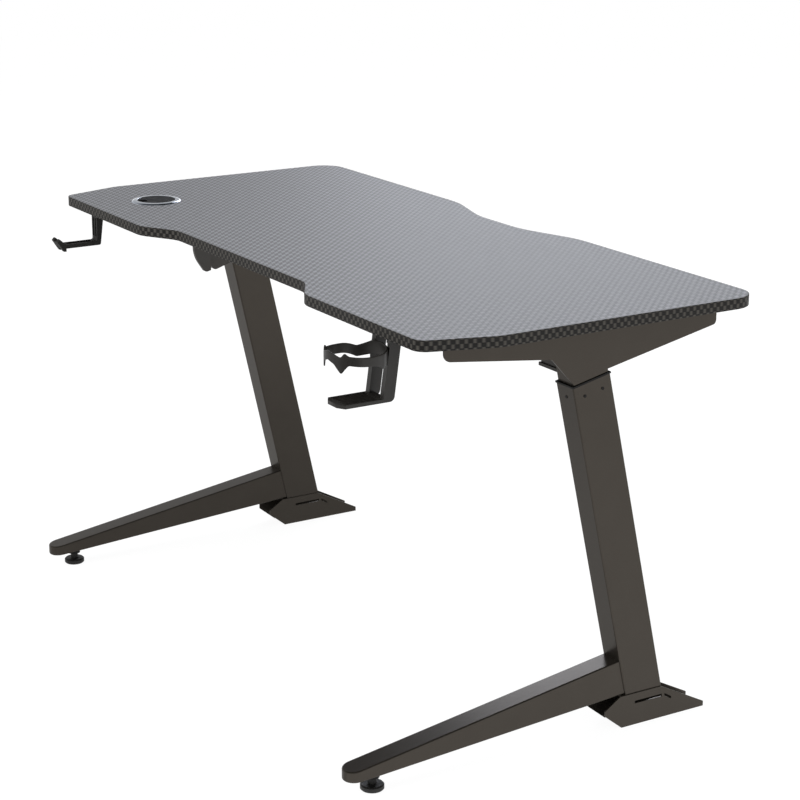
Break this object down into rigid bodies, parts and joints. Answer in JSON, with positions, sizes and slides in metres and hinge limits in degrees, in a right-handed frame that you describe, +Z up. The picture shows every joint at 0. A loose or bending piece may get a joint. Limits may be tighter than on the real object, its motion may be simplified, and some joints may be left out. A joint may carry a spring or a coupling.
{
  "type": "gaming desk",
  "caption": "Height-adjustable gaming desk: recessed carbon-look top on leaning telescopic legs with forward feet and slotted heels, cable grommet, headphone hook and cup holder.",
  "frame": {"origin": "on the floor, under the middle of the whole desk's box at its lowest height", "axes": "+X to the user's right, +Y to the back, +Z up"},
  "size_m": [1.4, 0.7212, 0.746],
  "materials": {
    "desktop_laminate": "fibreboard with a satin carbon-look laminate",
    "edge_band": "dark carbon-look edge band",
    "frame_steel": "fine satin powder coat, dark warm grey",
    "frame_plastic": "fine satin moulding, dark grey",
    "gearbox_casting": "cast, powder coated dark grey",
    "guide_plastic": "black nylon",
    "spindle_nut": "turned",
    "bright_steel": "zinc plated",
    "black_fasteners": "black zinc",
    "glide_plastic": "black, matt",
    "chrome_trim": "polished",
    "black_plastic": "black, satin",
    "button_plastic": "dark grey, satin"
  },
  "bodies": {
    "right_base": {"right_outer_column": "frame_steel", "right_guide_sleeve": "guide_plastic", "right_guide_screws": "black_fasteners", "right_column_plate": "frame_steel", "right_heel_base": "frame_steel", "right_heel_bolts": "black_fasteners", "right_foot": "frame_steel", "right_foot_bolts": "black_fasteners", "right_glide_insert": "bright_steel", "right_lift_tube": "bright_steel", "right_lift_nut": "spindle_nut"},
    "upper": {"left_top_bracket": "frame_steel", "left_inner_column": "frame_steel", "left_bearing_block": "guide_plastic", "left_gearbox": "gearbox_casting", "left_bracket_screws": "black_fasteners", "right_top_bracket": "frame_steel", "right_inner_column": "frame_steel", "right_bearing_block": "guide_plastic", "right_gearbox": "gearbox_casting", "right_bracket_screws": "black_fasteners", "desktop_board": "desktop_laminate", "desktop_edge_band": "edge_band", "grommet_ring": "chrome_trim", "front_rail": "frame_steel", "rear_rail": "frame_steel", "rail_bolts": "black_fasteners", "motor_housing": "frame_plastic", "drive_motor": "bright_steel", "control_box": "black_plastic", "control_box_screws": "black_fasteners", "hand_switch": "black_plastic", "hand_switch_screws": "black_fasteners", "headphone_hook": "black_plastic", "headphone_hook_screws": "black_fasteners", "cup_holder_frame": "black_plastic", "cup_holder_ring": "black_plastic", "cup_holder_screws": "black_fasteners"},
    "left_base": {"left_outer_column": "frame_steel", "left_guide_sleeve": "guide_plastic", "left_guide_screws": "black_fasteners", "left_column_plate": "frame_steel", "left_heel_base": "frame_steel", "left_heel_bolts": "black_fasteners", "left_foot": "frame_steel", "left_foot_bolts": "black_fasteners", "left_glide_insert": "bright_steel", "left_lift_tube": "bright_steel", "left_lift_nut": "spindle_nut"},
    "right_glide": {"right_glide": "glide_plastic"},
    "left_glide": {"left_glide": "glide_plastic"},
    "grommet_cap": {"grommet_cap": "black_plastic"},
    "up_button": {"up_button": "button_plastic"},
    "down_button": {"down_button": "button_plastic"},
    "drive_shaft": {"drive_shaft": "bright_steel"},
    "right_spindle": {"right_spindle": "bright_steel"},
    "left_spindle": {"left_spindle": "bright_steel"}
  },
  "joints": [
    {"name": "lift", "type": "slide", "parent": "right_base", "child": "upper", "axis": [0, -0.2176, 0.976], "range_m": [0, 0.4]},
    {"name": "left_lift", "type": "slide", "parent": "upper", "child": "left_base", "axis": [0, -0.2176, 0.976], "range_m": [-0.4, 0]},
    {"name": "shaft_turn", "type": "hinge", "parent": "upper", "child": "drive_shaft", "pos_m": [0, 0.08238, 0.682], "axis": [1, 0, 0], "range_deg": [0, 14400]},
    {"name": "right_spindle_turn", "type": "hinge", "parent": "upper", "child": "right_spindle", "pos_m": [0.597, 0.13523, 0.39853], "axis": [0, -0.2176, 0.976], "range_deg": [0, 14400]},
    {"name": "left_spindle_turn", "type": "hinge", "parent": "upper", "child": "left_spindle", "pos_m": [-0.597, 0.13523, 0.39853], "axis": [0, -0.2176, 0.976], "range_deg": [0, 14400]},
    {"name": "grommet_turn", "type": "hinge", "parent": "upper", "child": "grommet_cap", "pos_m": [-0.52, -0.13562, 0.744], "axis": [0, 0, 1], "continuous": true},
    {"name": "up_press", "type": "slide", "parent": "upper", "child": "up_button", "axis": [0, 1, 0], "range_m": [0, 0.0015], "stiffness_N_per_m": 700},
    {"name": "down_press", "type": "slide", "parent": "upper", "child": "down_button", "axis": [0, 1, 0], "range_m": [0, 0.0015], "stiffness_N_per_m": 700},
    {"name": "right_glide_level", "type": "slide", "parent": "right_base", "child": "right_glide", "axis": [0, 0, 1], "range_m": [-0.01, 0]},
    {"name": "left_glide_level", "type": "slide", "parent": "left_base", "child": "left_glide", "axis": [0, 0, 1], "range_m": [-0.01, 0]}
  ],
  "couplings": [
    {"joint": "left_lift", "follows": "lift", "ratio": -1},
    {"joint": "shaft_turn", "follows": "lift", "rad_per_m": 628.32},
    {"joint": "right_spindle_turn", "follows": "lift", "rad_per_m": 628.32},
    {"joint": "left_spindle_turn", "follows": "lift", "rad_per_m": 628.32}
  ]
}
